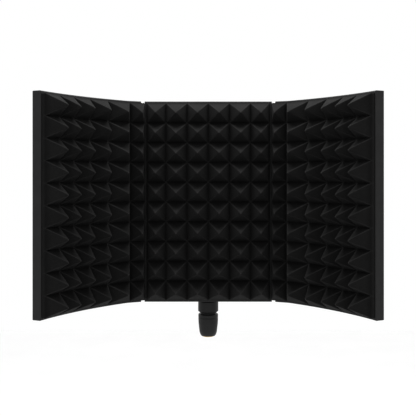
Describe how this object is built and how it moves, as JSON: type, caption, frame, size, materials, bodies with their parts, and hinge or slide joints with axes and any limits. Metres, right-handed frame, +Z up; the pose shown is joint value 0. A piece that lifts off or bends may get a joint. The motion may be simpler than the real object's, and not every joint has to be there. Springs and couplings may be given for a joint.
{
  "type": "microphone isolation shield",
  "caption": "Foldable acoustic shield: flat centre door and bent, gently curved side doors with pyramid foam and perforated backs, on a swivel nut for a microphone stand.",
  "frame": {"origin": "on the axis of the stand socket, at the socket's mouth", "axes": "+Z up along the stand socket's axis; the foam side of the centre door faces -Y; +X to the viewer's right when facing the foam"},
  "size_m": [0.4792, 0.1995, 0.372],
  "materials": {
    "moulded_frame": "satin",
    "boss_moulding": "matte",
    "perforated_panel": "matte",
    "pyramid_foam": "matte",
    "black_screw": "satin",
    "zinc_steel": "satin",
    "black_steel": "satin",
    "nylon_washer": "matte",
    "grip_moulding": "satin",
    "insert_brass": "satin"
  },
  "bodies": {
    "centre_door": {"centre_frame": "moulded_frame", "centre_back_panel": "perforated_panel", "centre_foam": "pyramid_foam", "centre_panel_screws": "black_screw", "mount_boss": "boss_moulding", "boss_cap": "boss_moulding", "boss_lock_screw": "black_screw", "backing_plate": "zinc_steel", "boss_bolts": "black_screw", "boss_washers": "zinc_steel", "boss_nuts": "zinc_steel", "spigot": "black_steel", "collar": "black_steel", "collar_screw": "black_screw", "friction_washer": "nylon_washer", "swivel_washer": "zinc_steel", "swivel_screw": "zinc_steel"},
    "right_door": {"right_frame": "moulded_frame", "right_back_panel": "perforated_panel", "right_foam": "pyramid_foam", "right_panel_screws": "black_screw", "right_hinge_pin": "zinc_steel", "right_hinge_washers": "nylon_washer"},
    "left_door": {"left_frame": "moulded_frame", "left_back_panel": "perforated_panel", "left_foam": "pyramid_foam", "left_panel_screws": "black_screw", "left_hinge_pin": "zinc_steel", "left_hinge_washers": "nylon_washer"},
    "grip": {"grip_nut": "grip_moulding", "thread_insert": "insert_brass"}
  },
  "joints": [
    {"name": "right_fold", "type": "hinge", "parent": "centre_door", "child": "right_door", "pos_m": [0.1035, -0.0245, 0.216], "axis": [0, 0, -1], "range_deg": [-40, 7]},
    {"name": "left_fold", "type": "hinge", "parent": "centre_door", "child": "left_door", "pos_m": [-0.1035, -0.0245, 0.216], "axis": [0, 0, 1], "range_deg": [-40, 7]},
    {"name": "grip_turn", "type": "hinge", "parent": "centre_door", "child": "grip", "pos_m": [0, 0, 0.02], "axis": [0, 0, 1], "continuous": true}
  ]
}
